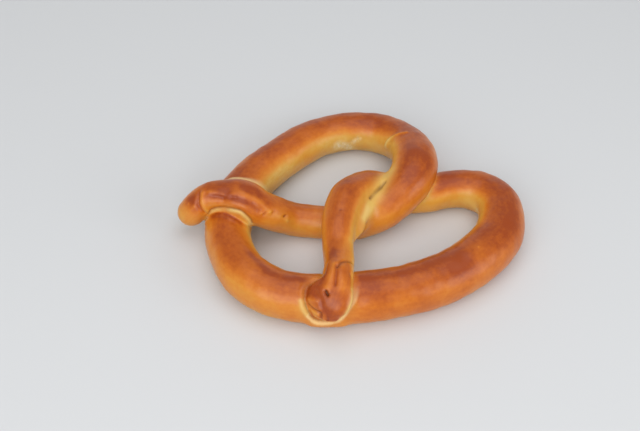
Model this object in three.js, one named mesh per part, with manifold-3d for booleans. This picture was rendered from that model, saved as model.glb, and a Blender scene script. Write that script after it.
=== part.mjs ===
// A soft pretzel: one rope of dough, thick in the middle and thin towards its ends, laid in two lobes
// on a flat tray. Its arms are twisted round each other once, and each end is pressed over the rim.
// Millimetres, +Z up. The origin is at the middle of the flat base, and +Y points to the notch between the lobes.
import * as THREE from 'three';
import { mergeVertices } from 'three/addons/utils/BufferGeometryUtils.js';
import Module from 'manifold-3d';

// Driving dimensions.
const SPAN = 160; // breadth that the route's places are shares of
const BELLY = 14.2; // half width of the rope where it is thickest, which girths and lifts are shares of
const SETTLE = 0.9; // height of a lying strand's centre over the tray, as a share of its half height
const TRAY_BITE = 0.4; // depth that the underside is cut off flat

// How finely the rope is drawn.
const SIDES = 26; // corners of a section
const STEPS = 4; // sections from one place of the route to the next
const CAP_RINGS = 4; // sections in each rounded end

// The route of the rope's centre from one end to the other. Each place has its share of SPAN across and
// along the tray, its half width as a share of BELLY, its half height as a share of that half width,
// and its lift over a lying strand as a share of BELLY.
const ARM_OVER_LEFT_RIM = [
  [-0.394, -0.424, 0.55, 0.98, 0.57],
  [-0.383, -0.401, 0.58, 0.94, 0.94],
  [-0.361, -0.366, 0.62, 0.82, 1.36],
  [-0.319, -0.320, 0.68, 0.71, 1.54],
  [-0.268, -0.286, 0.82, 0.70, 1.37],
  [-0.221, -0.246, 0.82, 0.80, 0.80],
  [-0.168, -0.161, 0.71, 0.94, 0.10],
  [-0.093, -0.085, 0.69, 0.96, 0],
  [-0.028, -0.023, 0.70, 0.96, 0.02],
  [0.015, 0.068, 0.81, 0.94, 0.16],
  [0.033, 0.157, 0.87, 0.94, 0.46],
  [0.029, 0.244, 0.92, 0.92, 0.86],
  [-0.032, 0.334, 0.92, 0.92, 0.86],
];
const LEFT_LOBE = [
  [-0.157, 0.407, 0.89, 0.94, 0.34],
  [-0.276, 0.402, 0.85, 0.95, 0.05],
  [-0.362, 0.324, 0.83, 0.95, 0.02],
  [-0.410, 0.202, 0.85, 0.95, 0.02],
  [-0.416, 0.042, 0.89, 0.95, 0.03],
  [-0.395, -0.128, 0.90, 0.94, 0.04],
  [-0.340, -0.276, 0.93, 0.94, 0.03],
  [-0.222, -0.400, 0.90, 0.95, 0.04],
];
const RIGHT_LOBE = [
  [-0.073, -0.461, 0.93, 0.95, 0.04],
  [0.078, -0.428, 0.96, 0.95, 0.02],
  [0.192, -0.330, 0.97, 0.95, 0.01],
  [0.292, -0.195, 1.00, 0.95, 0],
  [0.369, -0.033, 1.00, 0.95, 0],
  [0.406, 0.155, 1.00, 0.95, 0],
  [0.384, 0.328, 0.98, 0.95, 0],
  [0.289, 0.451, 0.93, 0.95, 0],
  [0.178, 0.457, 0.84, 0.95, 0],
  [0.102, 0.389, 0.79, 0.96, 0],
];
const ARM_OVER_RIGHT_RIM = [
  [0.056, 0.288, 0.76, 0.96, 0],
  [-0.005, 0.205, 0.73, 0.97, 0.16],
  [-0.059, 0.116, 0.73, 0.97, 0.70],
  [-0.042, -0.005, 0.72, 0.95, 1.18],
  [0.023, -0.111, 0.68, 0.92, 1.25],
  [0.094, -0.184, 0.60, 0.92, 1.10],
  [0.154, -0.236, 0.55, 0.88, 1.28],
  [0.193, -0.279, 0.55, 0.82, 1.50],
  [0.218, -0.311, 0.65, 0.64, 1.54],
  [0.235, -0.348, 0.86, 0.47, 1.42],
  [0.246, -0.375, 0.86, 0.45, 1.18],
  [0.252, -0.388, 0.62, 0.54, 0.93],
];
const ROUTE = [...ARM_OVER_LEFT_RIM, ...LEFT_LOBE, ...RIGHT_LOBE, ...ARM_OVER_RIGHT_RIM];

// The places of the route that each length of rope starts at. No length crosses itself.
const LENGTH_STARTS = [0, 18, 30];

const UP = new THREE.Vector3(0, 0, 1);

// A place of the route in millimetres: the centre, the half width and the half height.
function stationOf([across, along, girth, roundness, lift]) {
  const halfWidth = girth * BELLY;
  const halfHeight = roundness * halfWidth;
  const centre = new THREE.Vector3(across * SPAN, along * SPAN, SETTLE * halfHeight + lift * BELLY);
  return { centre, size: new THREE.Vector3(halfWidth, halfHeight, 0) };
}

// The rope's sections, evenly spread from each place to the next, each with its centre, sizes and directions.
function sectionsOf(route) {
  const stations = route.map(stationOf);
  const centreLine = new THREE.CatmullRomCurve3(stations.map((s) => s.centre), false, 'catmullrom');
  const sizeLine = new THREE.CatmullRomCurve3(stations.map((s) => s.size), false, 'catmullrom');
  const count = (route.length - 1) * STEPS;
  return Array.from({ length: count + 1 }, (_, i) => {
    const t = i / count;
    const ahead = centreLine.getTangent(t);
    const aside = new THREE.Vector3().crossVectors(ahead, UP).normalize();
    const size = sizeLine.getPoint(t);
    return {
      centre: centreLine.getPoint(t),
      ahead,
      aside,
      above: new THREE.Vector3().crossVectors(aside, ahead),
      halfWidth: size.x,
      halfHeight: size.y,
    };
  });
}

// The sections that round off an end of the rope, from the whole section out to nearly a point.
function capOf(section, outwards) {
  return Array.from({ length: CAP_RINGS }, (_, i) => {
    const angle = ((i + 1) / (CAP_RINGS + 0.5)) * (Math.PI / 2);
    const reach = outwards * Math.sin(angle) * section.halfHeight;
    return {
      ...section,
      centre: section.centre.clone().addScaledVector(section.ahead, reach),
      halfWidth: section.halfWidth * Math.cos(angle),
      halfHeight: section.halfHeight * Math.cos(angle),
    };
  });
}

// A closed tube through the sections: a cylinder whose rings of corners are moved onto them.
function tubeThrough(sections) {
  const tube = new THREE.CylinderGeometry(1, 1, 1, SIDES, sections.length - 1);
  const corners = tube.getAttribute('position');
  const corner = new THREE.Vector3();
  for (let i = 0; i < corners.count; i += 1) {
    corner.fromBufferAttribute(corners, i);
    const section = sections[Math.round((0.5 - corner.y) * (sections.length - 1))];
    const { centre, aside, above, halfWidth, halfHeight } = section;
    const placed = centre.clone()
      .addScaledVector(aside, corner.z * halfWidth)
      .addScaledVector(above, corner.x * halfHeight);
    corners.setXYZ(i, ...placed);
  }
  tube.deleteAttribute('normal');
  tube.deleteAttribute('uv');
  return mergeVertices(tube);
}

// A closed geometry as a solid that can be joined and cut, and back again.
function solidOf(wasm, geometry) {
  return new wasm.Manifold(new wasm.Mesh({
    numProp: 3,
    vertProperties: new Float32Array(geometry.getAttribute('position').array),
    triVerts: new Uint32Array(geometry.index.array),
  }));
}

function geometryOf(solid) {
  const mesh = solid.getMesh();
  const geometry = new THREE.BufferGeometry();
  geometry.setAttribute('position', new THREE.BufferAttribute(mesh.vertProperties, 3));
  geometry.setIndex(new THREE.BufferAttribute(mesh.triVerts, 1));
  return geometry;
}

// The whole rope as one solid, fused where it touches itself and flat where it lay on the tray.
function pretzelGeometry(wasm) {
  const sections = sectionsOf(ROUTE);
  const starts = LENGTH_STARTS.map((place) => place * STEPS);
  const lengths = starts.map((start, i) => {
    const end = starts[i + 1] ?? sections.length - 1;
    const rings = sections.slice(start, end + 1);
    if (i === 0) rings.unshift(...capOf(sections[0], -1).reverse());
    if (i === starts.length - 1) rings.push(...capOf(sections.at(-1), 1));
    return solidOf(wasm, tubeThrough(rings));
  });
  const rope = lengths.reduce((joined, length) => joined.add(length));
  const tray = new THREE.BoxGeometry(3 * SPAN, 3 * SPAN, BELLY);
  tray.translate(0, 0, TRAY_BITE - BELLY / 2);
  tray.deleteAttribute('normal');
  tray.deleteAttribute('uv');
  const geometry = geometryOf(rope.subtract(solidOf(wasm, mergeVertices(tray))));
  geometry.computeBoundingBox();
  const { min, max } = geometry.boundingBox;
  geometry.translate(-(min.x + max.x) / 2, -(min.y + max.y) / 2, -min.z);
  geometry.computeVertexNormals();
  return geometry;
}

const wasm = await Module();
wasm.setup();

const crust = new THREE.MeshStandardMaterial({ color: 0xb96a2a, roughness: 0.42, metalness: 0 });
const pretzel = new THREE.Mesh(pretzelGeometry(wasm), crust);
pretzel.name = 'pretzel';

const part = new THREE.Group();
part.add(pretzel);
export default part;
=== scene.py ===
"""A soft pretzel as it comes off the baking tray, lying flat in a plain studio.

One tapered rope of dough is swept along its route, fused into one crust, and worked over: seams where
strands meet, folds and a pit where the ends were pressed down, and a skin that browned most where it faced
the heat. Lengths are in millimetres until a mesh is made, and metres from there on.
"""

import logging
import math
from dataclasses import dataclass, field
from enum import Enum

import bmesh
import bpy
import numpy as np
from mathutils import Matrix, Vector
from mathutils.kdtree import KDTree


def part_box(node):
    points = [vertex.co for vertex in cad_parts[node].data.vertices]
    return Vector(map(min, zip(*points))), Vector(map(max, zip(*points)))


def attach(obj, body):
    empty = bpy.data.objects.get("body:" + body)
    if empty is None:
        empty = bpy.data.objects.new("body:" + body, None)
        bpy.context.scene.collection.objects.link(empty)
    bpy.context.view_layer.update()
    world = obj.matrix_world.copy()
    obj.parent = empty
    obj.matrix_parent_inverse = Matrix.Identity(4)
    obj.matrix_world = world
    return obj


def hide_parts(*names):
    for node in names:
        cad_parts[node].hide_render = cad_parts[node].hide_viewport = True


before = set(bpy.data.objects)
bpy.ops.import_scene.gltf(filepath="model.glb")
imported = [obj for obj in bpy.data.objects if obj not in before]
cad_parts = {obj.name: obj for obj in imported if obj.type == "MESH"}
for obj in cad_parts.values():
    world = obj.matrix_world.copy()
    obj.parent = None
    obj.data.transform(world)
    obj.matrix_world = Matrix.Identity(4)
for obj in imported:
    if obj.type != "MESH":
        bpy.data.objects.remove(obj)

LOG = logging.getLogger("pretzel")
MM = 0.001  # metres in a millimetre
NODE = "pretzel"
BODY = "root"

# The route of the rope's centre from one end to the other. Each place has its share of the rope's span
# across and along the tray, its half width as a share of the thickest half width, its half height as a share
# of that half width, and its lift over a lying strand as a share of the thickest half width.
ARM_OVER_LEFT_RIM = [
    (-0.394, -0.424, 0.55, 0.98, 0.57),
    (-0.383, -0.401, 0.58, 0.94, 0.94),
    (-0.361, -0.366, 0.62, 0.82, 1.36),
    (-0.319, -0.320, 0.68, 0.71, 1.54),
    (-0.268, -0.286, 0.82, 0.70, 1.37),
    (-0.221, -0.246, 0.82, 0.80, 0.80),
    (-0.168, -0.161, 0.71, 0.94, 0.10),
    (-0.093, -0.085, 0.69, 0.96, 0),
    (-0.028, -0.023, 0.70, 0.96, 0.02),
    (0.015, 0.068, 0.81, 0.94, 0.16),
    (0.033, 0.157, 0.87, 0.94, 0.46),
    (0.029, 0.244, 0.92, 0.92, 0.86),
    (-0.032, 0.334, 0.92, 0.92, 0.86),
]
LEFT_LOBE = [
    (-0.157, 0.407, 0.89, 0.94, 0.34),
    (-0.276, 0.402, 0.85, 0.95, 0.05),
    (-0.362, 0.324, 0.83, 0.95, 0.02),
    (-0.410, 0.202, 0.85, 0.95, 0.02),
    (-0.416, 0.042, 0.89, 0.95, 0.03),
    (-0.395, -0.128, 0.90, 0.94, 0.04),
    (-0.340, -0.276, 0.93, 0.94, 0.03),
    (-0.222, -0.400, 0.90, 0.95, 0.04),
]
RIGHT_LOBE = [
    (-0.073, -0.461, 0.93, 0.95, 0.04),
    (0.078, -0.428, 0.96, 0.95, 0.02),
    (0.192, -0.330, 0.97, 0.95, 0.01),
    (0.292, -0.195, 1.00, 0.95, 0),
    (0.369, -0.033, 1.00, 0.95, 0),
    (0.406, 0.155, 1.00, 0.95, 0),
    (0.384, 0.328, 0.98, 0.95, 0),
    (0.289, 0.451, 0.93, 0.95, 0),
    (0.178, 0.457, 0.84, 0.95, 0),
    (0.102, 0.389, 0.79, 0.96, 0),
]
ARM_OVER_RIGHT_RIM = [
    (0.056, 0.288, 0.76, 0.96, 0),
    (-0.005, 0.205, 0.73, 0.97, 0.16),
    (-0.059, 0.116, 0.73, 0.97, 0.70),
    (-0.042, -0.005, 0.72, 0.95, 1.18),
    (0.023, -0.111, 0.68, 0.92, 1.25),
    (0.094, -0.184, 0.60, 0.92, 1.10),
    (0.154, -0.236, 0.55, 0.88, 1.28),
    (0.193, -0.279, 0.55, 0.82, 1.50),
    (0.218, -0.311, 0.65, 0.64, 1.54),
    (0.235, -0.348, 0.86, 0.47, 1.42),
    (0.246, -0.375, 0.86, 0.45, 1.18),
    (0.252, -0.388, 0.62, 0.54, 0.93),
]


def linear(hex_colour: str) -> tuple[float, float, float, float]:
    """Turns an sRGB hex colour into linear light.

    Args:
        hex_colour: six hex digits, with or without a leading #.

    Returns:
        Red, green, blue and alpha, each 0 to 1.
    """
    digits = hex_colour.lstrip("#")
    parts = [int(digits[i : i + 2], 16) / 255 for i in (0, 2, 4)]
    curve = [p / 12.92 if p <= 0.04045 else ((p + 0.055) / 1.055) ** 2.4 for p in parts]
    return (*curve, 1.0)


def add_node(
    tree: bpy.types.NodeTree, kind: str, settings: dict | None = None, inputs: dict | None = None
) -> bpy.types.Node:
    """Adds a node to a tree, with its settings and links.

    Args:
        tree: the node tree.
        kind: the node's type name.
        settings: the node's own properties by name.
        inputs: what each input socket, by name or index, takes: an output socket to link, or a value.

    Returns:
        The new node.
    """
    node = tree.nodes.new(kind)
    for name, value in (settings or {}).items():
        setattr(node, name, value)
    for name, value in (inputs or {}).items():
        if isinstance(value, bpy.types.NodeSocket):
            tree.links.new(value, node.inputs[name])
        else:
            node.inputs[name].default_value = value
    return node


def smooth_step(low: float, high: float, value: np.ndarray) -> np.ndarray:
    """Rises smoothly from 0 at low to 1 at high, where low may be the greater."""
    share = np.clip((value - low) / (high - low), 0, 1)
    return share * share * (3 - 2 * share)


def hump(value: np.ndarray, middle: float, reach: float) -> np.ndarray:
    """A bell of height 1 at the middle that has fallen to a third at one reach."""
    return np.exp(-(((value - middle) / reach) ** 2))


@dataclass(frozen=True)
class Waviness:
    """Smooth unevenness that is the same every time: a sum of plane waves with random directions."""

    wavelength: float  # millimetres
    seed: int
    height: float = 1.0  # how far it mostly goes each way
    waves: int = 30

    def at(self, points: np.ndarray) -> np.ndarray:
        """Gives the unevenness at each point.

        Args:
            points: rows of x, y and z in millimetres.

        Returns:
            One value for each point, mostly between its height below and above 0.
        """
        random = np.random.default_rng(self.seed)
        ways = random.normal(size=(self.waves, 3))
        ways /= np.linalg.norm(ways, axis=1)[:, None]
        ways *= 2 * math.pi / (self.wavelength * random.uniform(0.75, 1.4, self.waves))[:, None]
        turns = random.uniform(0, 2 * math.pi, self.waves)
        return self.height * (np.cos(points @ ways.T + turns).sum(1) / math.sqrt(self.waves))


@dataclass(frozen=True)
class Lie:
    """Where each point of the crust lies on the rope."""

    along: np.ndarray  # millimetres from the rope's first end
    aside: np.ndarray  # share of the half width, negative towards the inside of a lobe
    above: np.ndarray  # share of the half height
    seam: np.ndarray  # millimetres to the surface of another stretch of the rope
    over: np.ndarray  # millimetres that its strand's middle lies above that other one's
    other: np.ndarray  # millimetres from the rope's first end to the nearest place of that other one
    proud: np.ndarray  # millimetres that it stands out of its own strand's surface


@dataclass
class Rope:
    """The rope of dough: its route over the tray and its girth along it."""

    span: float = 160.0  # breadth that the route's places are shares of
    belly: float = 14.2  # half width of the rope where it is thickest
    settle: float = 0.9  # height of a lying strand's centre over the tray, as a share of its half height
    tray_bite: float = 0.4  # depth that the underside is cut off flat
    steps: int = 16  # sections from one place of the route to the next
    cap_rings: int = 10  # sections in each rounded end
    apart: float = 60.0  # stretches further apart than this along the rope are different strands

    def __post_init__(self) -> None:
        """Works out the sections from the route."""
        route = np.array([*ARM_OVER_LEFT_RIM, *LEFT_LOBE, *RIGHT_LOBE, *ARM_OVER_RIGHT_RIM], float)
        half_width = route[:, 2] * self.belly
        half_height = route[:, 3] * half_width
        height = self.settle * half_height + route[:, 4] * self.belly
        places = np.column_stack([route[:, :2] * self.span, height, half_width, half_height])
        rows = self.curve_through(places)
        self.centre, self.half_width, self.half_height = rows[:, :3], rows[:, 3], rows[:, 4]
        ahead = np.gradient(self.centre, axis=0)
        self.ahead = ahead / np.linalg.norm(ahead, axis=1)[:, None]
        aside = np.cross(self.ahead, [0, 0, 1])
        self.aside = aside / np.linalg.norm(aside, axis=1)[:, None]
        self.above = np.cross(self.aside, self.ahead)
        steps = np.linalg.norm(np.diff(self.centre, axis=0), axis=1)
        self.along = np.concatenate([[0], np.cumsum(steps)])

    def curve_through(self, places: np.ndarray) -> np.ndarray:
        """Draws a smooth curve through the places, a Catmull-Rom curve with straight run-outs.

        Args:
            places: one row of numbers for each place.

        Returns:
            Rows of the same numbers, with the rope's steps between one place and the next.
        """
        ends = np.vstack([2 * places[0] - places[1], places, 2 * places[-1] - places[-2]])
        t = (np.arange(self.steps) / self.steps)[:, None]
        spans = []
        for a, b, c, d in zip(ends, ends[1:], ends[2:], ends[3:]):
            bend = (2 * a - 5 * b + 4 * c - d) * t**2 + (3 * b - a - 3 * c + d) * t**3
            spans.append(b + 0.5 * ((c - a) * t + bend))
        return np.vstack([*spans, places[-1:]])

    def cap(self, end: int, outwards: int) -> np.ndarray:
        """Gives the sections that round off an end, from the whole section out to nearly a point.

        Args:
            end: the end's index among the sections, 0 or -1.
            outwards: -1 at the first end and 1 at the last.

        Returns:
            Rows of centre, half width, half height and upward direction.
        """
        angle = (np.arange(1, self.cap_rings + 1) / (self.cap_rings + 0.3))[:, None] * math.pi / 2
        centre = self.centre[end] + outwards * np.sin(angle) * self.half_height[end] * self.ahead[end]
        sizes = np.cos(angle) * [self.half_width[end], self.half_height[end]]
        rows = np.hstack([centre, sizes, np.repeat(self.above[end][None], self.cap_rings, 0)])
        return rows[::outwards]

    def skin_at(self, along: float, angle: float, proud: float = 0.0) -> np.ndarray:
        """Finds a place on the rope's skin.

        Args:
            along: millimetres from the rope's first end, also a little past either end.
            angle: degrees round the rope from its top, towards its right as one goes along it.
            proud: millimetres out of the skin.

        Returns:
            The place in millimetres, in the route's own frame.
        """
        kept = min(max(along, 0.0), self.along[-1])
        rows = np.column_stack(
            [self.centre, self.half_width, self.half_height, self.ahead, self.aside, self.above]
        )
        row = np.array([np.interp(kept, self.along, column) for column in rows.T])
        centre, half_width, half_height, ahead, aside, above = np.split(row, [3, 4, 5, 8, 11])
        past = along - kept
        small = math.sqrt(max(0.05, 1 - (past / half_height[0]) ** 2))
        turn = math.radians(angle)
        out = aside * (half_width + proud) * math.sin(turn) + above * (half_height + proud) * math.cos(turn)
        return centre + ahead * past + out * small

    def sections(self) -> np.ndarray:
        """Gives rows of centre, half width, half height and upward direction, from end to end."""
        whole = np.column_stack([self.centre, self.half_width, self.half_height, self.above])
        return np.vstack([self.cap(0, -1), whole, self.cap(-1, 1)])

    def lie_of(self, points: np.ndarray, chunk: int = 6000) -> Lie:
        """Finds where each point lies on the rope.

        Args:
            points: rows of x, y and z in millimetres, in the route's own frame.
            chunk: points that are worked on at a time.

        Returns:
            The places of the points on the rope.
        """
        small = np.minimum(self.half_width, self.half_height)
        mean = (self.half_width + self.half_height) / 2
        offsets = [(self.centre * way).sum(1) for way in (self.ahead, self.aside, self.above)]
        parts = []
        for first in range(0, len(points), chunk):
            some = points[first : first + chunk]
            rows = np.arange(len(some))
            c, a, b = (
                some @ way.T - offset for way, offset in zip((self.ahead, self.aside, self.above), offsets)
            )
            a /= self.half_width
            b /= self.half_height
            depth = (np.sqrt(a * a + b * b + (c / mean) ** 2) - 1) * small
            own = depth.argmin(1)
            proud = depth[rows, own]
            near = np.abs(self.along[None] - self.along[own][:, None]) < self.apart
            depth[near] = 1e3
            other = depth.argmin(1)
            parts.append(
                np.column_stack(
                    [
                        self.along[own] + c[rows, own],
                        a[rows, own],
                        b[rows, own],
                        depth[rows, other],
                        self.centre[own, 2] - self.centre[other, 2],
                        self.along[other],
                        proud,
                    ]
                )
            )
        return Lie(*np.vstack(parts).T)


@dataclass(frozen=True)
class Look:
    """What a kind of mark does to the crust where it is strongest."""

    lift: float = 0.0  # millimetres outwards
    bake: float = 0.0  # how much browner, negative for paler; in creases, folds and pits this is painted shade, and on ridges and blisters partly a painted highlight
    painted_shade: float = 0.0  # how much dark painted shade, laid into creases, pits and seam lines
    dry: float = 0.0  # how much of the white of torn dry dough
    raw: float = 0.0  # how much of the tan of dough that the heat hardly reached
    rough: float = 0.0  # millimetres of ragged unevenness
    cream: float = 0.0  # how much of the cream of dough that bulged
    blend: float = 0.0  # how far the dough closed over into one smooth hollow


class Kind(Enum):
    """The kinds of mark that shaping and baking left. The darker colour of creases, folds and pits is
    painted shade, and the paler colour of ridges and blisters is partly a painted highlight.
    """

    # Pressed in, with painted shade along it.
    CREASE = Look(lift=-0.8, bake=0.12, painted_shade=0.5)
    # Sunk, and browner with painted shade.
    FOLD = Look(lift=-0.9, bake=0.14)
    # Raised, and paler: partly a painted highlight.
    RIDGE = Look(lift=0.7, bake=-0.30)
    SWELL = Look(lift=1.0)
    # Sunk deep, and dark with painted shade.
    PIT = Look(lift=-1.9, bake=0.3, painted_shade=1.0)
    # Raised, and paler: partly a painted highlight.
    BLISTER = Look(lift=0.4, bake=-0.2)
    SCORCH = Look(bake=0.22)
    PALE = Look(raw=0.9)
    TEAR = Look(lift=-0.2, bake=-0.2, dry=1.0, rough=0.4)
    FADE = Look(bake=-0.25)
    BULGE = Look(cream=0.2, raw=0.75)
    BLEND = Look(blend=1.0)


@dataclass(frozen=True)
class Mark:
    """One mark: a stroke over the crust, or a spot where it has one place."""

    kind: Kind
    reach: float  # millimetres from its middle line to where it has faded to a third
    places: tuple[tuple[float, ...], ...]  # what Rope.skin_at takes: along, angle and, if need be, proud
    strength: float = 1.0

    def share(self, points: np.ndarray, rope: Rope) -> np.ndarray:
        """Works out how strong the mark is at each point.

        Args:
            points: rows of x, y and z in millimetres, in the route's own frame.
            rope: the rope that it lies on.

        Returns:
            From 0 to its strength for each point.
        """
        spots = [rope.skin_at(*place) for place in self.places]
        found = np.zeros(len(points))
        for start, end in zip(spots, spots[1:] or spots):
            reach = 3 * self.reach
            low, high = np.minimum(start, end) - reach, np.maximum(start, end) + reach
            near = np.flatnonzero(((points > low) & (points < high)).all(1))
            run = end - start
            way = (points[near] - start) @ run / max(run @ run, 1e-9)
            gap = np.linalg.norm(points[near] - start - np.clip(way, 0, 1)[:, None] * run, axis=1)
            found[near] = np.maximum(found[near], hump(gap, 0, self.reach))
        return found * self.strength


# Millimetres along the rope where an end begins to lie on its rim, and where it lies on it whole.
LAID_END = (64, 52)
PRESSED_END = (741, 756)
# Where the pressed end turns into its flat pad, and where the pad's front edge begins.
PAD = (744, 751)
PAD_FRONT = (757, 764)
# Stretches by the ends whose seams need finer faces.
BY_LAID_END = (66, 50)
BY_PRESSED_END = (730, 742)


@dataclass(frozen=True)
class Filling:
    """A spindle of dough that fills a valley between strands."""

    girth: float  # half its width in the middle, in millimetres
    places: tuple[tuple[float, float, float], ...]  # what it runs through, as Rope.skin_at takes them
    taper: float = 0.5  # radians of a half turn that its ends are short of a point
    sunk: float = 0.16  # depth of its middle line under the places, as a share of its girth
    flatness: float = 0.55  # its height as a share of its width

    def sections(self, rope: Rope) -> np.ndarray:
        """Gives the spindle's sections.

        Args:
            rope: the rope that it lies on.

        Returns:
            Rows of centre, half width, half height and upward direction.
        """
        spots = np.array([rope.skin_at(*place) for place in self.places])
        ahead = np.gradient(spots, axis=0)
        aside = np.cross(ahead, [0, 0, 1])
        above = np.cross(aside, ahead)
        above /= np.linalg.norm(above, axis=1)[:, None]
        turn = np.linspace(self.taper, math.pi - self.taper, len(self.places))
        half_width = self.girth * np.sin(turn)
        centre = spots - self.sunk * self.girth * above
        return np.column_stack([centre, half_width, self.flatness * half_width, above])


# Between the arms where they twist, then on the near arm's flank below it.
WEB = Filling(
    6.6,
    (
        (143.0, -64, -1.8),
        (133.0, -45, -1.6),
        (124.0, -26, -0.8),
        (117.0, -4, 0.2),
        (111.0, 18, 1.2),
        (107.5, 40, 1.8),
        (104.2, 62, 1.7),
        (102.0, 82, 0.8),
    ),
)
WEB_SIDE = Filling(
    5.0,
    (
        (677.0, -84, 0.2),
        (683.0, -93, 1.2),
        (688.0, -102, 1.6),
        (693.0, -109, 2.0),
        (698.0, -112, 1.9),
        (703.0, -110, 0.9),
        (708.0, -104, -0.6),
    ),
)
# Dough that bulged up beside the laid end, on the side of the middle.
BULGE = Filling(
    3.2,
    (
        (11.0, 118, -1.8),
        (15.0, 115, -2.2),
        (19.0, 113, -2.3),
        (23.0, 112, -2.3),
        (27.5, 111, -2.2),
        (31.0, 104, -2.2),
        (35.0, 100, -2.0),
        (39.0, 101, -1.9),
        (43.0, 107, -1.8),
        (46.0, 118, -1.8),
    ),
)
FILLINGS = (WEB, WEB_SIDE, BULGE)

# The line that one sees of the floor of the valley where the arms twist.
VALLEY = (
    (141.4, -55, 0.4),
    (133.0, -36, 0.6),
    (123.0, -12, 0.9),
    (118.0, 1, 1.3),
    (114.3, 13, 1.7),
    (110.8, 27, 1.9),
    (107.8, 42, 2.2),
    (104.2, 64, 1.8),
    (102.3, 82, 1.0),
)
# The crease over the bulge, and the pale line that it shows under the crease.
BULGE_CREASE = (
    (8.9, 114),
    (13.8, 106),
    (18.2, 104),
    (23.6, 101),
    (27.0, 98),
    (31.0, 89),
    (33.3, 83),
    (35.0, 79),
    (37.7, 80),
    (39.9, 83),
    (42.3, 91),
    (44.4, 108),
)
BULGE_LINE = (
    (10.5, 126),
    (14.5, 121),
    (19.5, 117),
    (23.5, 116),
    (26.8, 113),
    (31.3, 97),
    (33.7, 90),
    (35.8, 88),
    (38.3, 90),
    (40.5, 94),
    (42.3, 101),
    (44.5, 118),
)

# The end pressed down over the right rim: two long rolls run into it from the neck, with a pit where they
# meet.
# Its pit, folds and creases are darkened with painted shade, and its rolls paled, partly with a painted
# highlight.
PRESSED_END_MARKS = (
    Mark(Kind.PIT, 0.7, ((751.0, 8), (752.1, 0))),
    Mark(Kind.RIDGE, 2.1, ((737.5, 16), (742.0, 17), (746.5, 10), (749.4, 7)), 1.0),
    Mark(Kind.RIDGE, 2.8, ((739.0, -17), (743.2, -20), (747.0, -26)), 0.7),
    Mark(Kind.FOLD, 1.6, ((734.4, 56), (741.9, 54), (748.6, 36)), 0.8),
    Mark(Kind.FOLD, 0.8, ((737.7, 8), (742.2, 3), (747.2, -9)), 1.1),
    Mark(Kind.FOLD, 1.5, ((739.8, -56), (742.0, -68), (744.8, -74)), 0.8),
    Mark(
        Kind.CREASE,
        0.8,
        ((738.9, 2), (737.2, -4), (735.7, -11), (734.4, -25), (732.5, -45), (731.4, -62)),
    ),
    Mark(Kind.SCORCH, 2.8, ((725.5, 28), (730.5, 34)), 1.2),
    Mark(Kind.FADE, 3.2, ((713.0, -34), (722.0, -30), (731.0, -26), (736.0, -10)), 0.9),
    Mark(Kind.FOLD, 2.6, ((753.8, 62), (752.4, 41)), 0.6),
    Mark(Kind.FOLD, 1.8, ((752.6, 33), (755.3, 11), (758.1, -2), (760.8, 2)), 0.7),
    Mark(Kind.RIDGE, 1.1, ((756.6, 58), (756.1, 35), (755.7, 20)), 0.6),
    Mark(Kind.CREASE, 0.7, ((758.6, 60), (759.2, 49), (759.4, 30), (759.7, 9)), 0.9),
    Mark(Kind.RIDGE, 1.1, ((761.5, 64), (761.4, 33), (761.6, 16)), 0.6),
    Mark(Kind.CREASE, 0.7, ((763.8, 58), (764.2, 40), (764.7, 20)), 0.5),
    Mark(Kind.CREASE, 0.6, ((760.6, 5), (762.6, 4), (765.5, 6)), 0.8),
    Mark(Kind.RIDGE, 1.2, ((760.5, -5), (762.6, -9), (763.6, -9)), 0.5),
    Mark(Kind.CREASE, 0.6, ((760.0, -17), (763.0, -26)), 0.5),
    Mark(Kind.SWELL, 3.2, ((756.0, -30), (756.4, -36)), 0.6),
    Mark(
        Kind.BULGE,
        1.4,
        ((745.5, -80), (748.0, -80), (751.0, -80), (753.4, -79), (756.4, -79), (759.3, -81)),
        1.15,
    ),
    Mark(Kind.SCORCH, 2.2, ((443.8, 5), (445.0, 21), (445.0, 34)), 0.5),
    Mark(Kind.BULGE, 1.3, ((416.6, 46), (417.2, 57), (418.3, 68), (420.0, 80)), 0.8),
    Mark(Kind.FADE, 4.0, ((759.5, 54), (761.0, 28)), 1.3),
    Mark(Kind.SWELL, 3.0, ((743.5, 78), (747.0, 84)), -1.4),
    Mark(Kind.SWELL, 4.2, ((423.0, 112), (430.0, 116), (437.0, 108)), 2.2),
)
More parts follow.
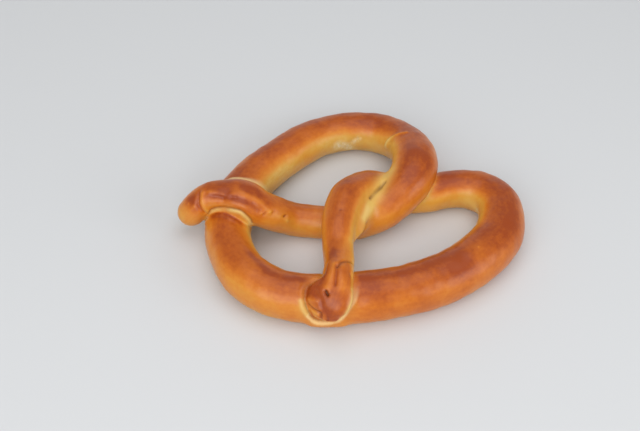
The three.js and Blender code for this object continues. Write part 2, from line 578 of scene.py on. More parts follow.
# The end laid over the left rim: a smooth round tip parted from the rest, and long folds over its back.
# Its folds and creases are darkened with painted shade, and its ridges and blisters paled, partly with a
# painted highlight.
LAID_END_MARKS = (
    Mark(Kind.FOLD, 1.0, ((12.9, 5), (12.4, 24), (11.4, 36), (10.2, 49), (9.6, 68), (9.0, 95))),
    Mark(Kind.RIDGE, 1.3, ((14.6, 18), (13.8, 31), (13.0, 47), (12.4, 63), (11.6, 80), (10.6, 98)), 0.7),
    Mark(Kind.SCORCH, 4.0, ((7.6, 30), (8.6, 52)), 1.5),
    Mark(Kind.SCORCH, 4.0, ((3.5, -16), (5.5, 0), (9.0, 10)), 0.9),
    Mark(Kind.BLISTER, 0.8, ((7.8, 44),)),
    Mark(Kind.BLISTER, 0.7, ((6.0, 22),)),
    Mark(Kind.SWELL, 5.0, ((4.0, 60), (7.0, 75)), 0.9),
    Mark(Kind.FOLD, 1.5, ((18.4, 46), (20.5, 46), (24.1, 53)), 0.7),
    Mark(Kind.RIDGE, 1.3, ((17.2, 24), (20.4, 32), (24.1, 40)), 0.6),
    Mark(Kind.RIDGE, 2.0, ((17.0, 76), (22.9, 86), (32.5, 66), (36.5, 56)), 0.4),
    Mark(Kind.FOLD, 1.0, ((29.5, 44), (32.0, 40))),
    Mark(Kind.FOLD, 1.7, ((33.6, 38), (38.0, 37), (42.2, 45)), 0.8),
    Mark(Kind.RIDGE, 2.0, ((30.2, 30), (34.2, 26), (37.9, 21), (42.3, 25), (46.8, 40)), 0.6),
    Mark(Kind.SCORCH, 3.2, ((33.1, 3), (35.6, 1), (39.4, 5), (43.5, 16)), 0.9),
    Mark(Kind.SCORCH, 4.5, ((17.0, -10), (25.0, -8)), 0.5),
    Mark(Kind.FADE, 2.6, ((31.0, 13), (34.5, 25)), 0.7),
    Mark(Kind.SCORCH, 3.6, ((38.0, -14), (43.0, -6), (48.0, 6), (46.0, 30)), 0.6),
    Mark(Kind.PIT, 0.6, ((56.4, 47), (57.2, 44)), 0.5),
    Mark(Kind.BLISTER, 1.0, ((59.3, 58),)),
    Mark(Kind.BLISTER, 0.9, ((43.8, 52),)),
    Mark(Kind.BLISTER, 1.0, ((47.6, 43),)),
    Mark(Kind.CREASE, 0.6, ((45.2, 54), (45.6, 46)), 0.35),
    Mark(Kind.CREASE, 0.6, ((49.2, 44), (49.8, 38)), 0.35),
    Mark(
        Kind.BLEND,
        4.4,
        (
            (13.0, 120),
            (18.0, 117),
            (23.0, 116),
            (27.0, 116),
            (31.0, 112),
            (35.0, 110),
            (39.0, 110),
            (43.0, 115),
            (46.0, 126),
        ),
    ),
    Mark(Kind.CREASE, 0.7, BULGE_CREASE, 0.8),
    Mark(Kind.BULGE, 1.2, BULGE_LINE, 1.2),
    Mark(Kind.SCORCH, 2.0, ((344.9, 41), (345.0, 25), (346.3, 3), (348.0, -15), (350.5, -32)), 1.2),
    Mark(Kind.SCORCH, 4.5, ((16.5, 50), (24.0, 54), (31.0, 58), (38.0, 58), (44.0, 58)), 1.3),
)
# The rest: the crack, dark with painted shade, and the pale web where the arms twist, dry tears on the inner
# flanks, and dark streaks on top.
OTHER_MARKS = (
    Mark(Kind.BLEND, 6.6, VALLEY),
    Mark(Kind.BLEND, 5.0, ((676.0, -90, 1.5), (686.0, -95, 1.5), (695.0, -102, 2.0), (703.0, -104, 1.5))),
    Mark(Kind.PALE, 4.4, VALLEY[:5]),
    Mark(
        Kind.PALE,
        3.2,
        ((676.5, -90, 2.7), (684.2, -97, 3.1), (690.2, -103, 2.8), (696.0, -109, 2.6)),
        0.55,
    ),
    Mark(Kind.PALE, 3.0, ((110.5, 34, 2.5), (108.0, 46, 2.4), (105.5, 58, 2.0)), 0.5),
    Mark(Kind.BULGE, 2.4, ((680.0, -94, 3.0), (685.5, -100, 3.4), (689.0, -103, 3.0))),
    Mark(
        Kind.CREASE,
        1.0,
        (
            (670.9, -78, 0.8),
            (666.1, -72, 0.5),
            (662.9, -64, 0.7),
            (126.0, -21, 0.6),
            (129.0, -27, 0.1),
            (132.4, -31, -0.3),
        ),
        1.3,
    ),
    Mark(Kind.RIDGE, 1.0, ((188.2, -80), (187.5, -73), (184.7, -51), (180.8, -35), (177.2, -10))),
    Mark(Kind.TEAR, 2.6, ((240.0, -86), (236.0, -88), (232.0, -97), (229.0, -103))),
    Mark(Kind.TEAR, 1.6, ((226.0, -80), (222.4, -72)), 0.7),
    Mark(Kind.PALE, 3.6, ((219.0, -80), (211.0, -86), (203.0, -90)), 0.5),
    Mark(Kind.PALE, 4.0, ((590.0, -84), (584.0, -88), (578.0, -100)), 0.7),
    Mark(Kind.TEAR, 1.6, ((574.0, -100), (566.0, -96), (561.0, -92)), 0.8),
    Mark(Kind.BLISTER, 0.7, ((518.4, 6),)),
    Mark(Kind.SCORCH, 2.2, ((379.5, -25), (388.5, -19), (396.8, -4), (404.8, -3), (417.5, -7)), 0.8),
    Mark(Kind.SCORCH, 2.4, ((448.0, -8), (469.8, -4), (487.8, -6), (496.6, -1), (507.0, 4)), 0.7),
    Mark(Kind.PIT, 0.5, ((695.3, -3),), 0.35),
    Mark(Kind.SCORCH, 7.0, ((152.0, 0), (143.0, 2)), 0.8),
    Mark(Kind.SCORCH, 6.0, ((148.0, 39), (142.0, 50), (136.0, 56)), 0.6),
    # A paler strip along the left lobe's inner top: partly paler crust, partly a painted highlight.
    Mark(Kind.FADE, 4.5, ((234.0, -40), (255.0, -40), (275.0, -40), (295.0, -40), (310.0, -40)), 0.5),
)


@dataclass
class Sweep:
    """A Geometry Nodes tree that lays an oval section along a line of sections and closes its ends."""

    sides: int = 72
    name: str = "Rope of dough"

    def tree(self) -> tuple[bpy.types.NodeTree, dict[str, str]]:
        """Builds the tree.

        Returns:
            The tree, and the identifier of each named input.
        """
        tree = bpy.data.node_groups.new(self.name, "GeometryNodeTree")
        tree.interface.new_socket("Line", in_out="INPUT", socket_type="NodeSocketGeometry")
        sides = tree.interface.new_socket("Sides", in_out="INPUT", socket_type="NodeSocketInt")
        crust = tree.interface.new_socket("Crust", in_out="INPUT", socket_type="NodeSocketMaterial")
        tree.interface.new_socket("Mesh", in_out="OUTPUT", socket_type="NodeSocketGeometry")
        given = add_node(tree, "NodeGroupInput")
        number, direction = {"data_type": "FLOAT"}, {"data_type": "FLOAT_VECTOR"}
        sizes = {"half_width": number, "half_height": number, "centre": direction, "above": direction}
        kept = {
            name: add_node(tree, "GeometryNodeInputNamedAttribute", kind, {"Name": name}).outputs[0]
            for name, kind in sizes.items()
        }
        line = add_node(tree, "GeometryNodeMeshToCurve", None, {"Mesh": given.outputs["Line"]})
        profile = add_node(
            tree,
            "GeometryNodeCurvePrimitiveCircle",
            {"mode": "RADIUS"},
            {"Resolution": given.outputs["Sides"], "Radius": 1.0},
        )
        tube = add_node(
            tree,
            "GeometryNodeCurveToMesh",
            None,
            {
                "Curve": line.outputs[0],
                "Profile Curve": profile.outputs[0],
                "Scale": kept["half_width"],
                "Fill Caps": True,
            },
        )
        place = add_node(tree, "GeometryNodeInputPosition")
        out = add_node(
            tree, "ShaderNodeVectorMath", {"operation": "SUBTRACT"}, {0: place.outputs[0], 1: kept["centre"]}
        )
        rise = add_node(
            tree, "ShaderNodeVectorMath", {"operation": "DOT_PRODUCT"}, {0: out.outputs[0], 1: kept["above"]}
        )
        share = add_node(
            tree, "ShaderNodeMath", {"operation": "DIVIDE"}, {0: kept["half_height"], 1: kept["half_width"]}
        )
        less = add_node(tree, "ShaderNodeMath", {"operation": "SUBTRACT"}, {0: share.outputs[0], 1: 1.0})
        press = add_node(
            tree, "ShaderNodeMath", {"operation": "MULTIPLY"}, {0: rise.outputs["Value"], 1: less.outputs[0]}
        )
        shift = add_node(
            tree,
            "ShaderNodeVectorMath",
            {"operation": "SCALE"},
            {0: kept["above"], "Scale": press.outputs[0]},
        )
        pressed = add_node(
            tree, "GeometryNodeSetPosition", None, {"Geometry": tube.outputs[0], "Offset": shift.outputs[0]}
        )
        real = add_node(tree, "GeometryNodeRealizeInstances", None, {"Geometry": pressed.outputs[0]})
        dressed = add_node(
            tree,
            "GeometryNodeSetMaterial",
            None,
            {"Geometry": real.outputs[0], "Material": given.outputs["Crust"]},
        )
        add_node(tree, "NodeGroupOutput", None, {0: dressed.outputs[0]})
        return tree, {"sides": sides.identifier, "crust": crust.identifier}


def mesh_of(source: bpy.types.Object, name: str) -> bpy.types.Mesh:
    """Makes a plain mesh of what an object's modifiers give, and removes the object.

    Args:
        source: the object with its modifiers.
        name: the new mesh's name.

    Returns:
        The plain mesh.
    """
    graph = bpy.context.evaluated_depsgraph_get()
    made = bpy.data.meshes.new_from_object(source.evaluated_get(graph), depsgraph=graph)
    made.name = name
    bpy.data.objects.remove(source)
    return made


def shown(mesh: bpy.types.Mesh, name: str) -> bpy.types.Object:
    """Puts a mesh in the scene as an object at the origin.

    Args:
        mesh: the mesh.
        name: the object's name.

    Returns:
        The object.
    """
    thing = bpy.data.objects.new(name, mesh)
    bpy.context.scene.collection.objects.link(thing)
    return thing


def points_of(mesh: bpy.types.Mesh) -> np.ndarray:
    """Reads a mesh's points.

    Args:
        mesh: the mesh.

    Returns:
        Rows of x, y and z in millimetres.
    """
    flat = np.empty(len(mesh.vertices) * 3, np.float32)
    mesh.vertices.foreach_get("co", flat)
    return flat.reshape(-1, 3).astype(float) / MM


def normals_of(mesh: bpy.types.Mesh) -> np.ndarray:
    """Reads a mesh's outward directions at its points.

    Args:
        mesh: the mesh.

    Returns:
        One direction of length 1 for each point.
    """
    flat = np.empty(len(mesh.vertices) * 3, np.float32)
    mesh.vertex_normals.foreach_get("vector", flat)
    return flat.reshape(-1, 3).astype(float)


def move_points(mesh: bpy.types.Mesh, points: np.ndarray) -> None:
    """Moves a mesh's points to rows of millimetres."""
    mesh.vertices.foreach_set("co", (points * MM).astype(np.float32).ravel())
    mesh.update()


def store(mesh: bpy.types.Mesh, name: str, values: np.ndarray) -> None:
    """Keeps numbers on a mesh as a named attribute.

    Args:
        mesh: the mesh.
        name: the attribute's name.
        values: one number, or one row of three, for each point.
    """
    kind, key = ("FLOAT", "value") if values.ndim == 1 else ("FLOAT_VECTOR", "vector")
    kept = mesh.attributes.new(name, kind, "POINT")
    kept.data.foreach_set(key, values.astype(np.float32).ravel())


@dataclass(frozen=True)
class Pattern:
    """A random pattern in the crust."""

    size: float  # millimetres from one blotch to the next
    detail: float
    rough: float = 0.5
    spread: tuple[float, float] | None = None  # what the part of its range that is used is moved to
    contrast: tuple[float, float] = (0.3, 0.7)  # the part of its range that is used
    drawn_out: bool = False  # whether it is pulled along the rope into streaks


@dataclass(frozen=True)
class Crust:
    """Baked bread crust, browned in an alkaline glaze: a thin glossy skin over soft crumb.

    It gives soft wide highlights, a chestnut top, golden flanks, raw-looking cream dough in its seams,
    painted shade in its creases and pits, and paler ridges that are partly painted highlights.
    The pores are drawn coarser than real ones, so that they show.
    """

    name: str = "Baked bread crust"
    stops: tuple[tuple[float, str], ...] = (
        (0.0, "#dcba6c"),
        (0.15, "#d8a850"),
        (0.30, "#d7993c"),
        (0.50, "#d4842b"),
        (0.70, "#c66b18"),
        (0.88, "#b0540c"),
        (1.0, "#983f08"),
    )
    cream: str = "#f6dc9e"
    raw: str = "#dcb45c"
    dry: str = "#e8d3a6"
    # Dark brown painted as shade into creases, pits and the seam lines round the ends.
    painted_shade: str = "#64300c"
    gloss: float = 0.32  # roughness of the glazed skin
    matt: float = 0.62  # roughness of torn or bulged dough
    refraction: float = 1.45
    blotches: Pattern = Pattern(15, 3, spread=(-0.06, 0.06))
    flecks: Pattern = Pattern(2.6, 4, 0.6, spread=(-0.05, 0.05))
    streaks: Pattern = Pattern(1.0, 3, spread=(-0.035, 0.035), drawn_out=True)
    draw: tuple[float, float, float] = (0.13, 0.5, 0.5)  # streaks to a millimetre along and across the rope
    flakes: Pattern = Pattern(1.8, 3, 0.7, spread=(0.3, 1.0), contrast=(0.44, 0.56))
    dulling: Pattern = Pattern(5, 2, spread=(-0.15, 0.15))
    wrinkles: Pattern = Pattern(3.4, 3)
    wrinkle_depth: float = 0.25  # millimetres
    wrinkle_strength: float = 0.35
    pores: Pattern = Pattern(0.9, 5, 0.62)
    pore_depth: float = 0.12  # millimetres
    pore_strength: float = 0.22

    def material(self) -> bpy.types.Material:
        """Builds the material.

        Returns:
            A node material that reads the crust's attributes and Object coordinates.
        """
        made = bpy.data.materials.new(self.name)
        made.use_nodes = True
        tree = made.node_tree
        tree.nodes.clear()
        kept = {
            name: add_node(tree, "ShaderNodeAttribute", {"attribute_name": name})
            for name in ("bake", "cream", "dry", "raw", "painted_shade", "flow")
        }
        levels = self.patterns(tree, kept["flow"].outputs["Vector"])
        tone = kept["bake"].outputs["Fac"]
        for pattern in (self.blotches, self.flecks, self.streaks):
            inputs = {0: tone, 1: levels[pattern]}
            tone = add_node(tree, "ShaderNodeMath", {"operation": "ADD"}, inputs).outputs[0]
        ramp = add_node(tree, "ShaderNodeValToRGB", None, {"Fac": tone})
        ends = ramp.color_ramp.elements
        ends[0].position, ends[0].color = self.stops[0][0], linear(self.stops[0][1])
        ends[1].position, ends[1].color = self.stops[-1][0], linear(self.stops[-1][1])
        for stop, colour in self.stops[1:-1]:
            ends.new(stop).color = linear(colour)
        flaked = add_node(
            tree,
            "ShaderNodeMath",
            {"operation": "MULTIPLY"},
            {0: kept["dry"].outputs["Fac"], 1: levels[self.flakes]},
        )
        layers = (
            (kept["raw"].outputs["Fac"], self.raw),
            (kept["cream"].outputs["Fac"], self.cream),
            (flaked.outputs[0], self.dry),
            # Last the dark painted shade of the creases, pits and seam lines.
            (kept["painted_shade"].outputs["Fac"], self.painted_shade),
        )
        seen = ramp.outputs["Color"]
        for share, colour in layers:
            inputs = {0: share, 6: seen, 7: linear(colour)}
            seen = add_node(tree, "ShaderNodeMix", {"data_type": "RGBA"}, inputs).outputs[2]
        unglazed = add_node(
            tree,
            "ShaderNodeMath",
            {"operation": "MAXIMUM"},
            {0: kept["cream"].outputs["Fac"], 1: kept["dry"].outputs["Fac"]},
        )
        dull = add_node(
            tree, "ShaderNodeMath", {"operation": "ADD"}, {0: unglazed.outputs[0], 1: levels[self.dulling]}
        )
        roughness = add_node(
            tree,
            "ShaderNodeMapRange",
            None,
            {"Value": dull.outputs[0], "To Min": self.gloss, "To Max": self.matt},
        )
        wrinkled = add_node(
            tree,
            "ShaderNodeBump",
            None,
            {
                "Strength": self.wrinkle_strength,
                "Distance": self.wrinkle_depth * MM,
                "Height": levels[self.wrinkles],
            },
        )
        porous = add_node(
            tree,
            "ShaderNodeBump",
            None,
            {
                "Strength": self.pore_strength,
                "Distance": self.pore_depth * MM,
                "Height": levels[self.pores],
                "Normal": wrinkled.outputs[0],
            },
        )
        shader = add_node(
            tree,
            "ShaderNodeBsdfPrincipled",
            None,
            {
                "Base Color": seen,
                "Roughness": roughness.outputs[0],
                "IOR": self.refraction,
                "Normal": porous.outputs[0],
            },
        )
        add_node(tree, "ShaderNodeOutputMaterial", None, {"Surface": shader.outputs[0]})
        return made

    def patterns(
        self, tree: bpy.types.NodeTree, flow: bpy.types.NodeSocket
    ) -> dict[Pattern, bpy.types.NodeSocket]:
        """Adds the nodes of every pattern.

        Args:
            tree: the material's tree.
            flow: the socket with each point's place along, across and up the rope, in millimetres.

        Returns:
            The socket that gives each pattern.
        """
        place = add_node(tree, "ShaderNodeTexCoord").outputs["Object"]
        drawn = add_node(tree, "ShaderNodeVectorMath", {"operation": "MULTIPLY"}, {0: flow, 1: self.draw})
        tones = (self.blotches, self.flecks, self.streaks, self.flakes, self.dulling)
        levels = {}
        for pattern in (*tones, self.wrinkles, self.pores):
            vector, unit = (drawn.outputs[0], 1.0) if pattern.drawn_out else (place, MM)
            noise = add_node(
                tree,
                "ShaderNodeTexNoise",
                None,
                {
                    "Vector": vector,
                    "Scale": 1 / (pattern.size * unit),
                    "Detail": pattern.detail,
                    "Roughness": pattern.rough,
                },
            )
            levels[pattern] = noise.outputs["Fac"]
            if pattern.spread:
                level = add_node(
                    tree,
                    "ShaderNodeMapRange",
                    None,
                    {
                        "Value": noise.outputs["Fac"],
                        "From Min": pattern.contrast[0],
                        "From Max": pattern.contrast[1],
                        "To Min": pattern.spread[0],
                        "To Max": pattern.spread[1],
                    },
                )
                levels[pattern] = level.outputs[0]
        return levels


@dataclass(frozen=True)
class Paper:
    """Matt paper, pressed smooth: it gives the floor one even tone with no reflection to speak of."""

    name: str = "Matt paper"
    colour: str = "#d4d6d8"
    roughness: float = 0.6
    refraction: float = 1.45

    def material(self) -> bpy.types.Material:
        """Builds the material.

        Returns:
            A plain node material.
        """
        made = bpy.data.materials.new(self.name)
        made.use_nodes = True
        made.node_tree.nodes.clear()
        shader = add_node(
            made.node_tree,
            "ShaderNodeBsdfPrincipled",
            None,
            {"Base Color": linear(self.colour), "Roughness": self.roughness, "IOR": self.refraction},
        )
        add_node(made.node_tree, "ShaderNodeOutputMaterial", None, {"Surface": shader.outputs[0]})
        return made


@dataclass(frozen=True)
class Patch:
    """A stretch of the rope that baked browner or paler than the rest."""

    middle: float  # millimetres from the rope's first end
    reach: float  # millimetres to where it has faded to a third
    browner: float
    side: tuple[float, float] | None = None  # where it begins and is full, as shares of the half width

    def share(self, lie: Lie) -> np.ndarray:
        """Works out how much browner the patch makes each point.

        Args:
            lie: where the points lie on the rope.

        Returns:
            How much browner, for each point.
        """
        more = self.browner * hump(lie.along, self.middle, self.reach)
        if self.side:
            more = more * smooth_step(*self.side, np.clip(lie.aside, -1, 1))
        return more


@dataclass(frozen=True)
class Oven:
    """How brown the heat made the crust, from 0, pale, to 1, dark chestnut."""

    top: float = 0.88
    flank: float = 0.38
    outer_flank: float = 0.12  # more on the outside of a lobe, and less on its inside
    hot_top: float = 0.08  # more on the oven's hot side
    hot_flank: float = 0.22
    below: float = -0.10  # where the crust turns under
    pressed_end: float = 0.95
    shelter: float = 0.06  # in a seam
    uneven: Waviness = Waviness(26, 21, 0.05)
    hot_side: tuple[float, float] = (5, 80)  # millimetres across the tray from cool to hot
    top_patches: tuple[Patch, ...] = (
        Patch(85, 45, -0.16),
        Patch(375, 50, -0.05),
        Patch(180, 50, 0.09),
        Patch(290, 40, 0.06),
    )
    flank_patches: tuple[Patch, ...] = (
        Patch(175, 50, 0.16, (-0.1, 0.6)),
        Patch(280, 45, -0.08, (0.1, -0.4)),
    )
    whole_patch: Patch = Patch(600, 40, 0.07)


@dataclass
class Pretzel:
    """The whole pretzel: one rope, fused where its strands meet."""

    rope: Rope = field(default_factory=Rope)
    sweep: Sweep = field(default_factory=Sweep)
    crust: Crust = field(default_factory=Crust)
    oven: Oven = field(default_factory=Oven)
    grain: float = 1.0  # size of the fused mesh's faces, in millimetres
    rounds: int = 4  # of evening out the seams
    blend_rounds: int = 60  # of evening out where the dough closed over
    seam_depth: float = 0.6  # millimetres
    rim_swell: float = 0.5  # millimetres that a rim bulged round an end that was pressed onto it
    swells: Waviness = Waviness(34, 11, 0.35)
    dimples: Waviness = Waviness(9, 12, 0.12)
    ragged: Waviness = Waviness(2.6, 31)
    fillings: tuple[Filling, ...] = FILLINGS
    marks: tuple[Mark, ...] = PRESSED_END_MARKS + LAID_END_MARKS + OTHER_MARKS
    # How far the cream reaches beyond the laid arm, in millimetres, at places along the far rim.
    far_edge: tuple[tuple[float, float], ...] = (
        (306.5, 8.4),
        (308, 7.9),
        (310.5, 6.9),
        (313, 6.2),
        (315, 6.1),
        (316.5, 6.7),
        (317.6, 7.6),
    )

    def line(self, rows: np.ndarray) -> bpy.types.Object:
        """Makes the line of sections that the sweep follows.

        Args:
            rows: centre, half width, half height and upward direction of each section.

        Returns:
            The line's object.
        """
        mesh = bpy.data.meshes.new("Rope line")
        edges = [(i, i + 1) for i in range(len(rows) - 1)]
        mesh.from_pydata((rows[:, :3] * MM).tolist(), edges, [])
        store(mesh, "centre", rows[:, :3] * MM)
        store(mesh, "half_width", rows[:, 3] * MM)
        store(mesh, "half_height", rows[:, 4] * MM)
        store(mesh, "above", rows[:, 5:8])
        return shown(mesh, "Rope line")

    def fused(self, material: bpy.types.Material) -> bpy.types.Mesh:
        """Sweeps the rope and fuses its strands into one closed skin.

        Args:
            material: the crust.

        Returns:
            The mesh, in metres, in the route's own frame.
        """
        tree, names = self.sweep.tree()
        dough = bmesh.new()
        for rows in (self.rope.sections(), *(filling.sections(self.rope) for filling in self.fillings)):
            line = self.line(rows)
            nodes = line.modifiers.new("Sweep", "NODES")
            nodes.node_group = tree
            nodes[names["sides"]] = self.sweep.sides
            nodes[names["crust"]] = material
            dough.from_mesh(mesh_of(line, "Swept rope"))
        swept = shown(bpy.data.meshes.new("Dough"), "Dough")
        dough.to_mesh(swept.data)
        dough.free()
        LOG.info("swept dough: %d faces", len(swept.data.polygons))
        remesh = swept.modifiers.new("Fuse", "REMESH")
        remesh.mode = "VOXEL"
        remesh.voxel_size = self.grain * MM
        remesh.use_smooth_shade = True
        return mesh_of(swept, "Crust")

    def refined(self, mesh: bpy.types.Mesh) -> None:
        """Halves the faces round the marks and along the seams of the rope's ends.

        Args:
            mesh: the fused skin.
        """
        points = points_of(mesh)
        lie = self.rope.lie_of(points)
        at_ends = np.maximum(smooth_step(*BY_LAID_END, lie.other), smooth_step(*BY_PRESSED_END, lie.other))
        close = (lie.seam < 3.0) & (at_ends > 0) & (lie.over < 0) | (lie.seam < 1.2)
        for mark in self.marks:
            if mark.reach < 2:
                close |= mark.share(points, self.rope) > 0.08 * mark.strength
        cut = bmesh.new()
        cut.from_mesh(mesh)
        edges = [edge for edge in cut.edges if close[edge.verts[0].index] and close[edge.verts[1].index]]
        bmesh.ops.subdivide_edges(cut, edges=edges, cuts=1, use_grid_fill=True)
        cut.to_mesh(mesh)
        cut.free()

    def gap_to_seam(self, mesh: bpy.types.Mesh, points: np.ndarray, lie: Lie) -> np.ndarray:
        """Measures how far the points near another strand are from the line where the strands meet.

        Args:
            mesh: the skin.
            points: its points in millimetres.
            lie: where they lie on the rope.

        Returns:
            Millimetres for each point, or a large number far from any seam.
        """
        ends = np.empty(len(mesh.edges) * 2, np.int32)
        mesh.edges.foreach_get("vertices", ends)
        a, b = ends.reshape(-1, 2).T
        crossing = np.abs(lie.along[a] - lie.along[b]) > self.rope.apart
        spots = (points[a[crossing]] + points[b[crossing]]) / 2
        tree = KDTree(len(spots))
        for index, spot in enumerate(spots):
            tree.insert(spot, index)
        tree.balance()
        gap = np.full(len(points), 99.0)
        for index in np.flatnonzero(lie.seam < 9):
            gap[index] = tree.find(points[index])[2]
        return gap

    def softened(
        self, mesh: bpy.types.Mesh, points: np.ndarray, share: np.ndarray, rounds: int
    ) -> np.ndarray:
        """Evens out the points where the share is large, so that seams don't step from face to face.

        Args:
            mesh: the skin.
            points: its points in millimetres.
            share: from 0 to 1 for each point.
            rounds: times that each point moves towards its neighbours' middle.

        Returns:
            The moved points.
        """
        ends = np.empty(len(mesh.edges) * 2, np.int32)
        mesh.edges.foreach_get("vertices", ends)
        a, b = ends.reshape(-1, 2).T
        count = np.bincount(ends, minlength=len(points))[:, None]
        for _ in range(rounds):
            total = np.zeros_like(points)
            for column in range(3):
                total[:, column] += np.bincount(a, points[b, column], len(points))
                total[:, column] += np.bincount(b, points[a, column], len(points))
            points = points + (total / count - points) * share[:, None]
        return points

    def total(self, part: str, points: np.ndarray) -> np.ndarray:
        """Adds up one part of the look of all marks.

        Args:
            part: the name of the part, as in Look.
            points: the skin's points in millimetres.

        Returns:
            From 0 to 1 for each point.
        """
        shares = [
            getattr(mark.kind.value, part) * mark.share(points, self.rope)
            for mark in self.marks
            if getattr(mark.kind.value, part)
        ]
        return np.clip(sum(shares), 0, 1)

    def relief(self, points: np.ndarray, lie: Lie, gap: np.ndarray) -> np.ndarray:
        """Works out how far each point of the skin is pushed out.

        Args:
            points: the skin's points in millimetres.
            lie: where they lie on the rope.
            gap: their distance from the line of the seam.

        Returns:
            Millimetres outwards for each point.
        """
        uneven = np.clip(self.swells.at(points) + self.dimples.at(points), -0.7, 0.7)
        level = hump(lie.over, 0, 6)
        shut = 1 - self.total("blend", points)
        lifted = uneven - self.seam_depth * hump(gap, 0, 1.1) * (1 - level) * shut
        lifted += self.rim_swell * hump(gap, 2.2, 1.2) * self.ring(lie) * shut
        ragged = np.clip(self.ragged.at(points), -1.2, 1.2)
        for mark in self.marks:
            share = mark.share(points, self.rope)
            lifted += share * (mark.kind.value.lift + mark.kind.value.rough * ragged)
        return lifted

    def ring(self, lie: Lie) -> np.ndarray:
        """Works out where a rim bulged up round an end that was pressed onto it.

        Args:
            lie: where the skin's points lie on the rope.

        Returns:
            From 0, away from the pressed ends, to 1 under them, for each point.
        """
        under = smooth_step(2, -3, lie.over)
        laid = smooth_step(*LAID_END, lie.other)
        pressed = smooth_step(*PRESSED_END, lie.other)
        return under * np.maximum(laid, pressed)

    def browning(self, points: np.ndarray, normals: np.ndarray, lie: Lie) -> np.ndarray:
        """Works out how brown the crust baked: dark on top, golden on the flanks, paler inside the lobes,
        with the marks' painted shade in creases, folds and pits and partly painted highlights on ridges and
        blisters.

        Args:
            points: the skin's points in millimetres.
            normals: its outward directions.
            lie: where they lie on the rope.

        Returns:
            From 0, pale, to 1, dark chestnut, for each point.
        """
        oven = self.oven
        up = normals[:, 2]
        side = np.clip(lie.aside, -1, 1)
        heat = smooth_step(*oven.hot_side, points[:, 0])
        flank = oven.flank + oven.outer_flank * side + oven.hot_flank * heat * smooth_step(-0.4, 0.6, side)
        flank += sum(patch.share(lie) for patch in oven.flank_patches)
        flank += oven.below * smooth_step(-0.05, -0.6, up)
        top = oven.top + oven.hot_top * heat + sum(patch.share(lie) for patch in oven.top_patches)
        bake = flank + (top - flank) * smooth_step(0.45, 0.99, up) + oven.whole_patch.share(lie)
        pressed = smooth_step(*PAD, lie.along) * smooth_step(-0.5, 0.0, up)
        bake += (oven.pressed_end - bake) * pressed
        fade = hump(lie.seam, 0, 2.6) * np.where(lie.over > 4, 0.7, 1.0) * (1 - pressed)
        fade *= 1 - 0.65 * self.ring(lie)
        bake = bake * (1 - 0.5 * fade) + oven.shelter * fade
        # Each mark browns or pales the crust: scorches and fades are the crust's own tone, the darkening of
        # creases, folds and pits is painted shade, and the paling of ridges and blisters is partly a painted
        # highlight.
        for mark in self.marks:
            bake += mark.kind.value.bake * mark.share(points, self.rope)
        return np.clip(bake + oven.uneven.at(points), 0, 1)

    def cream(self, lie: Lie, gap: np.ndarray, ring: np.ndarray) -> np.ndarray:
        """Works out how cream the rims are where they bulged up round the pressed ends.

        Args:
            lie: where the skin's points lie on the rope.
            gap: their distance from the line of the seam.
            ring: from 0 to 1, where the rims bulged.

        Returns:
            From 0 to 1 for each point.
        """
        front = smooth_step(760, 765, lie.other)
        under_pad = 0.05 + 0.95 * smooth_step(*PAD_FRONT, lie.other)
        share = np.where(lie.other > 700, under_pad, 0.75)
        rim = ring * hump(gap, 1.5 + 0.5 * front, 0.9 + 0.8 * front) * share
        pad_side = smooth_step(430, 437, lie.along)
        rim = np.maximum(rim, ring * smooth_step(2.8, 1.4, lie.seam) * pad_side * 0.85)
        edge = np.interp(lie.along, *np.transpose(self.far_edge))
        behind = ring * smooth_step(0.7, -0.7, lie.seam - edge) * smooth_step(326, 320, lie.along) * 0.65
        behind *= smooth_step(-0.6, 0.2, lie.above)
        return np.maximum(rim, behind * (lie.along > 280))

    def shape(self, mesh: bpy.types.Mesh) -> tuple[np.ndarray, np.ndarray, Lie, np.ndarray]:
        """Works the fused skin over and brings it to the CAD box.

        Args:
            mesh: the skin.

        Returns:
            Its points and outward directions before the relief, where they lie on the rope, and their
            distance from the line of the seam.
        """
        self.refined(mesh)
        points = points_of(mesh)
        lie = self.rope.lie_of(points)
        LOG.info("fused crust: %d points, %d faces", len(points), len(mesh.polygons))
        on_rope = hump(lie.seam, 0, 6) < 0.5
        points = points - normals_of(mesh) * (np.clip(lie.proud, -0.5, 0.5) * on_rope)[:, None]
        points = self.softened(mesh, points, 0.5 * hump(lie.seam, 0, 1.6), self.rounds)
        points = self.softened(mesh, points, 0.5 * self.total("blend", points), self.blend_rounds)
        move_points(mesh, points)
        normals = normals_of(mesh)
        gap = self.gap_to_seam(mesh, points, lie)
        moved = points + normals * self.relief(points, lie, gap)[:, None]
        moved[:, 2] = np.maximum(moved[:, 2], self.rope.tray_bite)
        low, high = (np.array(corner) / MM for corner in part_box(NODE))
        size = moved.max(0) - moved.min(0)
        LOG.info("visual size %s, cad size %s", size.round(2), (high - low).round(2))
        move_points(mesh, (moved - moved.min(0)) * ((high - low) / size) + low)
        return points, normals, lie, gap

    def build(self) -> bpy.types.Object:
        """Builds the pretzel and puts it in the frame.

        Returns:
            The finished piece.
        """
        material = self.crust.material()
        mesh = self.fused(material)
        points, normals, lie, gap = self.shape(mesh)
        ring = self.ring(lie) * (1 - smooth_step(0, 0.5, self.total("blend", points)))
        cream = np.maximum(self.cream(lie, gap, ring), self.total("cream", points))
        store(mesh, "bake", self.browning(points, normals, lie))
        store(mesh, "cream", np.clip(cream, 0, 1))
        store(mesh, "dry", self.total("dry", points))
        store(mesh, "raw", self.total("raw", points))
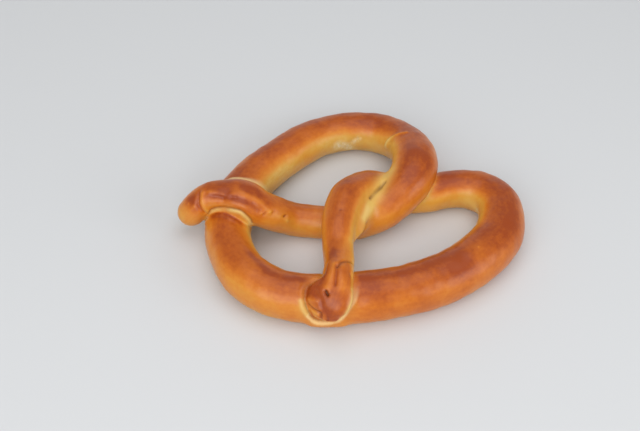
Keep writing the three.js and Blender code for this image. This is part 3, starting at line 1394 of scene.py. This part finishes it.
        # Painted shade: dark in the creases and pits, and along the seam line where the rims meet the ends.
        store(mesh, "painted_shade", np.clip(self.total("painted_shade", points) + 0.6 * ring * hump(gap, 0, 0.7), 0, 1))
        store(mesh, "flow", np.column_stack([lie.along, lie.aside * 12, lie.above * 12]))
        mesh.materials.clear()
        mesh.materials.append(material)
        mesh.polygons.foreach_set("use_smooth", np.ones(len(mesh.polygons), bool))
        mesh.update()
        return shown(mesh, "pretzel_crust")


@dataclass(frozen=True)
class SoftBox:
    """A soft light that faces the middle of the tray."""

    name: str
    place: tuple[float, float, float]  # metres
    size: tuple[float, float]  # its breadth and height in metres
    watts: float


@dataclass
class Studio:
    """A plain pale floor, soft lights and the camera."""

    azimuth: float = 44.0  # degrees that the camera stands round from the -Y side
    elevation: float = 46.0  # degrees above the tray
    roll: float = 4.0  # degrees about the line of sight
    distance: float = 0.6702  # metres from the aim
    aim: tuple[float, float, float] = (-0.0241, -0.0043, -0.0004)  # metres
    lens: float = 64.69  # millimetres
    paper: Paper = field(default_factory=Paper)
    floor_reach: float = 3.0  # metres from the middle to each edge
    world_colour: str = "#ffffff"
    world_strength: float = 0.42
    lights: tuple[SoftBox, ...] = (
        SoftBox("Top box", (0.0, 0.0, 1.15), (1.2, 1.2), 4.7),
        SoftBox("Front box", (0.42, -0.88, 0.7), (1.2, 0.85), 8.0),
        SoftBox("Right box", (0.88, 0.36, 0.42), (0.7, 0.55), 2.9),
        SoftBox("Back box", (-0.85, 0.9, 0.35), (0.9, 0.35), 0.5),
    )

    def camera(self) -> None:
        """Places the camera, turned about its own line of sight by the roll."""
        a, e, r = (math.radians(x) for x in (self.azimuth, self.elevation, self.roll))
        back = Vector((math.sin(a) * math.cos(e), -math.cos(a) * math.cos(e), math.sin(e)))
        data = bpy.data.cameras.new("Camera")
        data.lens = self.lens
        data.sensor_width = 36.0
        data.clip_start, data.clip_end = 0.01, 20.0
        camera = bpy.data.objects.new("Camera", data)
        turn = (-back).to_track_quat("-Z", "Y").to_matrix() @ Matrix.Rotation(r, 3, "Z")
        camera.matrix_world = Matrix.Translation(Vector(self.aim) + back * self.distance) @ turn.to_4x4()
        bpy.context.scene.collection.objects.link(camera)
        bpy.context.scene.camera = camera

    def hang(self, box: SoftBox) -> None:
        """Hangs one soft box.

        Args:
            box: the box.
        """
        data = bpy.data.lights.new(box.name, "AREA")
        data.shape = "RECTANGLE"
        data.size, data.size_y = box.size
        data.energy = box.watts
        lamp = bpy.data.objects.new(box.name, data)
        lamp.location = box.place
        lamp.rotation_euler = (-Vector(box.place)).to_track_quat("-Z", "Y").to_euler()
        bpy.context.scene.collection.objects.link(lamp)

    def floor(self) -> None:
        """Lays the floor, a wide sheet of paper."""
        mesh = bpy.data.meshes.new("Floor")
        reach = self.floor_reach
        corners = [(-reach, -reach, 0), (reach, -reach, 0), (reach, reach, 0), (-reach, reach, 0)]
        mesh.from_pydata(corners, [], [(0, 1, 2, 3)])
        mesh.materials.append(self.paper.material())
        shown(mesh, "Floor")

    def build(self) -> None:
        """Sets up the floor, the lights, the surroundings and the camera."""
        self.floor()
        self.camera()
        world = bpy.data.worlds.new("Pale room")
        world.use_nodes = True
        world.node_tree.nodes.clear()
        glow = add_node(
            world.node_tree,
            "ShaderNodeBackground",
            None,
            {"Color": linear(self.world_colour), "Strength": self.world_strength},
        )
        add_node(world.node_tree, "ShaderNodeOutputWorld", None, {"Surface": glow.outputs[0]})
        bpy.context.scene.world = world
        for box in self.lights:
            self.hang(box)
        bpy.context.scene.view_settings.view_transform = "Standard"


def main() -> None:
    """Builds the pretzel and its studio."""
    logging.basicConfig(level=logging.INFO, format="%(name)s: %(message)s")
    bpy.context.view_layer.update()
    studio = Studio()
    studio.build()
    LOG.info("studio: %d soft boxes", len(studio.lights))
    pretzel = Pretzel().build()
    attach(pretzel, BODY)
    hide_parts(NODE)
    LOG.info("%s: %d faces", pretzel.name, len(pretzel.data.polygons))


if __name__ == "__main__":
    main()
